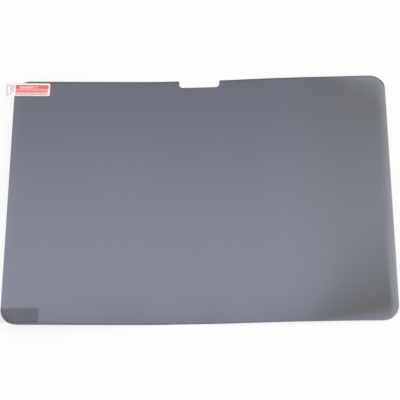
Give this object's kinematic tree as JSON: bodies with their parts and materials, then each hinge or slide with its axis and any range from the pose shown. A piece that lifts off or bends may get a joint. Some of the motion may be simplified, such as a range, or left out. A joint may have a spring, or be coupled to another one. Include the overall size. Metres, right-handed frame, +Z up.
{
  "type": "tablet screen protector",
  "caption": "Thin tinted privacy film for a tablet's screen, with rounded corners, a camera notch in one long edge and printed peel tabs stuck on both faces.",
  "frame": {"origin": "centre of the flat strip under the film's middle, which the film rests on", "axes": "+X along the long side, away from the tabs; +Y towards the notched long edge; +Z up, out of the front face"},
  "size_m": [0.246, 0.17, 0.0063],
  "materials": {
    "tinted_film": "smooth tinted polyester film, satin gloss, slightly see-through",
    "tab_label": "white label film printed with a red field"
  },
  "bodies": {
    "root": {"privacy_film": "tinted_film", "front_pull_tab": "tab_label", "rear_pull_tab": "tab_label"}
  },
  "joints": []
}
